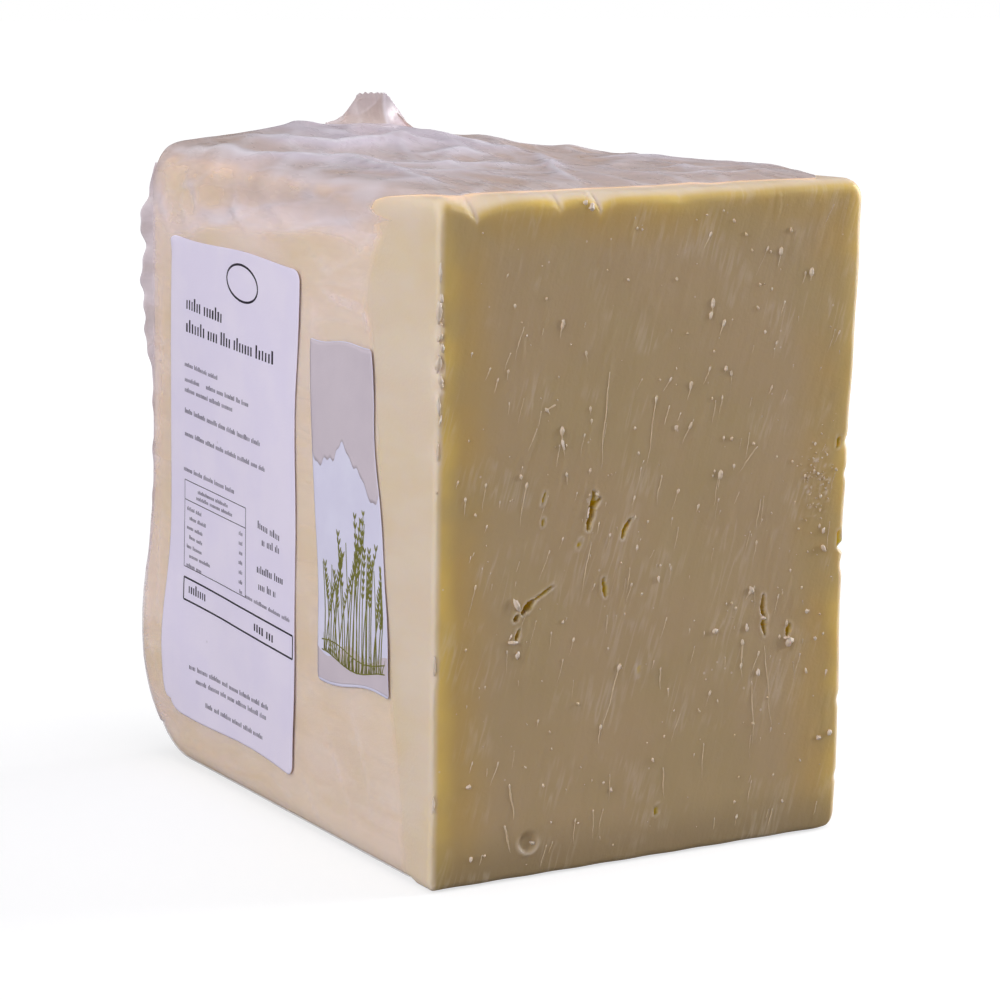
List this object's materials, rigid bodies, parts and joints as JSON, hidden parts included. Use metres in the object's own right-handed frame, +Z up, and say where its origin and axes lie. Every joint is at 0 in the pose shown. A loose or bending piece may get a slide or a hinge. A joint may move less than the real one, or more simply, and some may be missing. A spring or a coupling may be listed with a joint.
{
  "type": "cheddar block",
  "caption": "Block of white cheddar, cut across to show its inside, in milky vacuum film with a gathered tail, a seal fin and labels on one side. Stands on its base.",
  "frame": {"origin": "on the surface it stands on, under the middle of the whole", "axes": "+X across the cut face, away from the labelled side; +Y from the cut face to the back; +Z up"},
  "size_m": [0.1522, 0.187, 0.2136],
  "materials": {
    "cheese": "smooth, slightly moist cut cheese",
    "film": "milky clear vacuum film",
    "white_label": "satin white label stock",
    "picture_label": "satin printed label stock"
  },
  "bodies": {
    "root": {"cheese_block": "cheese", "film_wrap": "film", "label_details": "white_label", "label_picture": "picture_label"}
  },
  "joints": []
}
